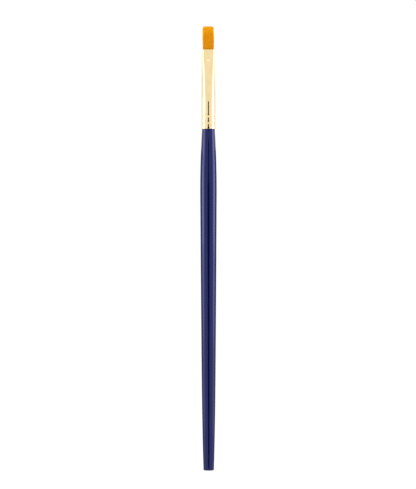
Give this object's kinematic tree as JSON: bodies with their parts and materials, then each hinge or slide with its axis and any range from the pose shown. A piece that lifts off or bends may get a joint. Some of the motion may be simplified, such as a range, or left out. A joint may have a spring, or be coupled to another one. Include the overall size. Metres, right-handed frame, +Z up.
{
  "type": "paint brush",
  "caption": "Long-handled flat paint brush: turned and lacquered wooden handle, crimped gold ferrule pressed flat, and a short golden synthetic tuft.",
  "frame": {"origin": "centre of the flat butt end of the handle", "axes": "+Z up the handle to the tip of the hair, the wide face of the hair looks along -Y, +X across the hair's width"},
  "size_m": [0.0096, 0.0096, 0.26],
  "materials": {
    "bare_wood": "turned and sanded, unfinished",
    "navy_lacquer": "glossy dipped lacquer",
    "gold_tube": "polished pale gold plating",
    "white_glue": "dried adhesive",
    "clear_resin": "cured amber resin",
    "golden_filament": "fine synthetic filaments with a soft sheen"
  },
  "bodies": {
    "root": {"wood_core": "bare_wood", "lacquer_coat": "navy_lacquer", "tenon_adhesive": "white_glue", "ferrule": "gold_tube", "root_resin": "clear_resin", "filament_tuft": "golden_filament"}
  },
  "joints": []
}
